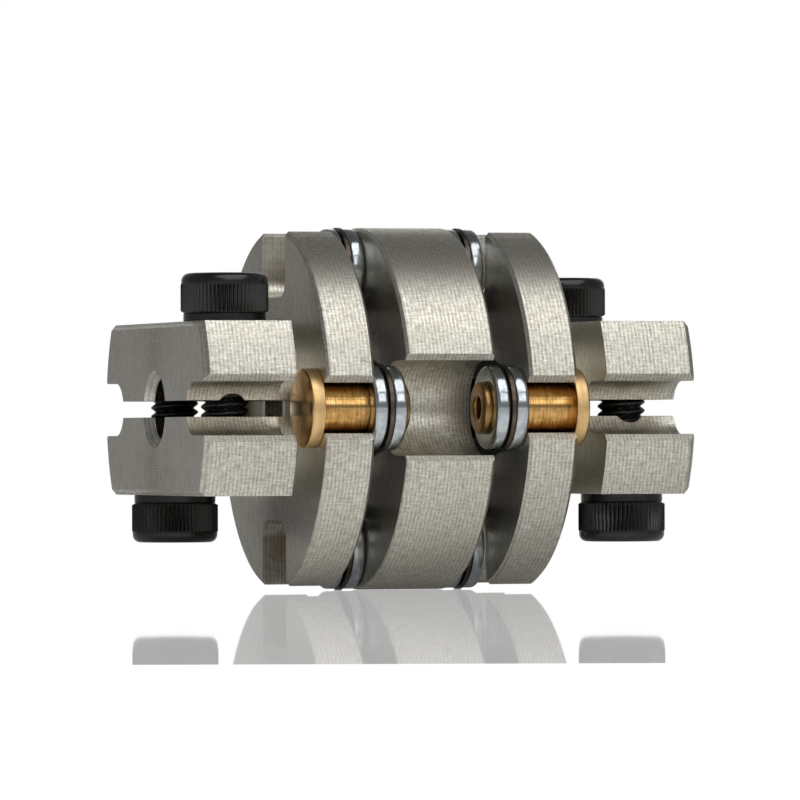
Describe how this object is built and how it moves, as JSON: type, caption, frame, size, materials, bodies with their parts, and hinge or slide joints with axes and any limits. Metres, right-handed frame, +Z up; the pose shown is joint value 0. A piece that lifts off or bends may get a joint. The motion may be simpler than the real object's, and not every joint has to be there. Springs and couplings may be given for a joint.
{
  "type": "disc coupling",
  "caption": "Double disc flexible shaft coupling: two slit clamp hubs joined to a floating centre body by thin spring discs, brass rivets and washers.",
  "frame": {"origin": "middle of the coupling, on the shaft axis", "axes": "+X along the shaft axis towards the right hub, +Z up through the top long rivet, the clamp slits lie in the XY plane"},
  "size_m": [0.0266, 0.019, 0.019],
  "materials": {
    "stainless_steel": "satin machined stainless steel",
    "spring_steel": "thin rolled spring steel, slightly tanned at the edge",
    "brass": "bright turned brass",
    "zinc_washer": "bright zinc plate",
    "black_oxide_screw": "black oxide on alloy steel"
  },
  "bodies": {
    "root": {"bottom_long_rivet": "brass", "centre_body": "stainless_steel", "left_bottom_inner_washer": "zinc_washer", "left_bottom_outer_washer": "zinc_washer", "left_disc": "spring_steel", "left_far_inner_washer": "zinc_washer", "left_far_outer_washer": "zinc_washer", "left_far_rivet": "brass", "left_far_screw": "black_oxide_screw", "left_hub": "stainless_steel", "left_near_inner_washer": "zinc_washer", "left_near_outer_washer": "zinc_washer", "left_near_rivet": "brass", "left_near_screw": "black_oxide_screw", "left_top_inner_washer": "zinc_washer", "left_top_outer_washer": "zinc_washer", "right_bottom_inner_washer": "zinc_washer", "right_bottom_outer_washer": "zinc_washer", "right_disc": "spring_steel", "right_far_inner_washer": "zinc_washer", "right_far_outer_washer": "zinc_washer", "right_far_rivet": "brass", "right_far_screw": "black_oxide_screw", "right_hub": "stainless_steel", "right_near_inner_washer": "zinc_washer", "right_near_outer_washer": "zinc_washer", "right_near_rivet": "brass", "right_near_screw": "black_oxide_screw", "right_top_inner_washer": "zinc_washer", "right_top_outer_washer": "zinc_washer", "top_long_rivet": "brass"}
  },
  "joints": []
}
